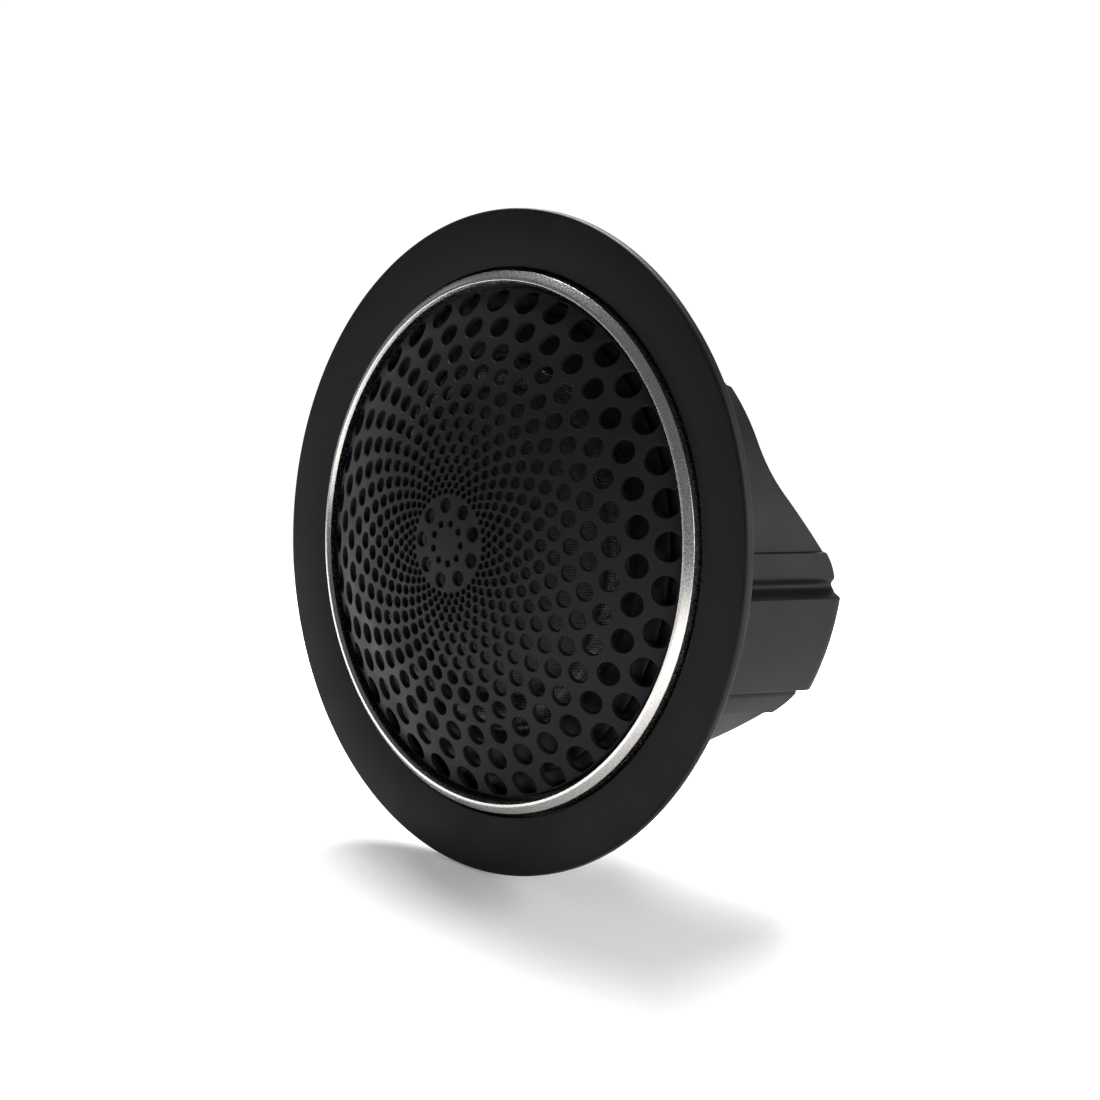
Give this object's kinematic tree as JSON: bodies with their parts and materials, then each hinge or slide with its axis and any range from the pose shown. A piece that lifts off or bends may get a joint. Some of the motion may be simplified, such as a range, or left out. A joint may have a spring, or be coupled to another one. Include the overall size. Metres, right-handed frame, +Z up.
{
  "type": "car tweeter",
  "caption": "Flush-mount car tweeter: a soft dome behind a perforated metal grille and bright bezel ring, in an insert that twists out of a flanged cup with two rear legs.",
  "frame": {"origin": "on the speaker's axis, in the plane of the panel that the cup is mounted in, where the gasket under the flange rests on it", "axes": "-Y is the way the grille faces, +Y points into the panel along the cup's legs, +Z is up; the legs lie 24.3 degrees below +X and above -X"},
  "size_m": [0.058, 0.0284, 0.058],
  "materials": {
    "cup_plastic": "moulded black, satin, fine spark-eroded texture",
    "gasket_foam": "closed-cell foam, matt",
    "bezel_metal": "diamond-cut slopes, satin land",
    "grille_metal": "perforated steel, matt charcoal powder coat",
    "shell_plastic": "moulded black",
    "plate_plastic": "moulded black, matt",
    "dome_textile": "coated woven textile with a slight gloss",
    "surround_textile": "coated textile, glossier than the dome",
    "former_foil": "thin foil",
    "coil_copper": "enamelled copper wire",
    "motor_steel": "zinc-plated turned steel",
    "magnet_plating": "nickel-plated neodymium",
    "felt": "grey wool felt",
    "foam": "open-cell foam",
    "screw_steel": "zinc-plated",
    "board_laminate": "brown phenolic laminate",
    "terminal_tin": "tin-plated brass",
    "wire_red": "insulation",
    "wire_black": "insulation",
    "tinsel_braid": "copper braid"
  },
  "bodies": {
    "cup": {"mounting_cup": "cup_plastic", "flange_gasket": "gasket_foam"},
    "insert": {"bezel_ring": "bezel_metal", "grille": "grille_metal", "body_shell": "shell_plastic", "diaphragm_frame": "shell_plastic", "face_plate": "plate_plastic", "surround": "surround_textile", "pole_plate": "motor_steel", "magnet": "magnet_plating", "yoke": "motor_steel", "damping_felt": "felt", "rear_cover": "shell_plastic", "chamber_foam": "foam", "rear_screw": "screw_steel", "terminal_board": "board_laminate", "terminal_positive": "terminal_tin", "terminal_negative": "terminal_tin", "terminal_wire_positive": "wire_red", "terminal_wire_negative": "wire_black", "tinsel_lead_positive": "tinsel_braid", "tinsel_lead_negative": "tinsel_braid"},
    "diaphragm": {"dome": "dome_textile", "coil_former": "former_foil", "voice_coil": "coil_copper"}
  },
  "joints": [
    {"name": "insert_twist", "type": "hinge", "parent": "cup", "child": "insert", "pos_m": [0, 0, 0], "axis": [0, 1, 0], "range_deg": [0, 14]},
    {"name": "diaphragm_travel", "type": "slide", "parent": "insert", "child": "diaphragm", "axis": [0, -1, 0], "range_m": [-0.0004, 0.0004], "stiffness_N_per_m": 30, "deforming": ["surround", "tinsel_lead_positive", "tinsel_lead_negative"]}
  ]
}
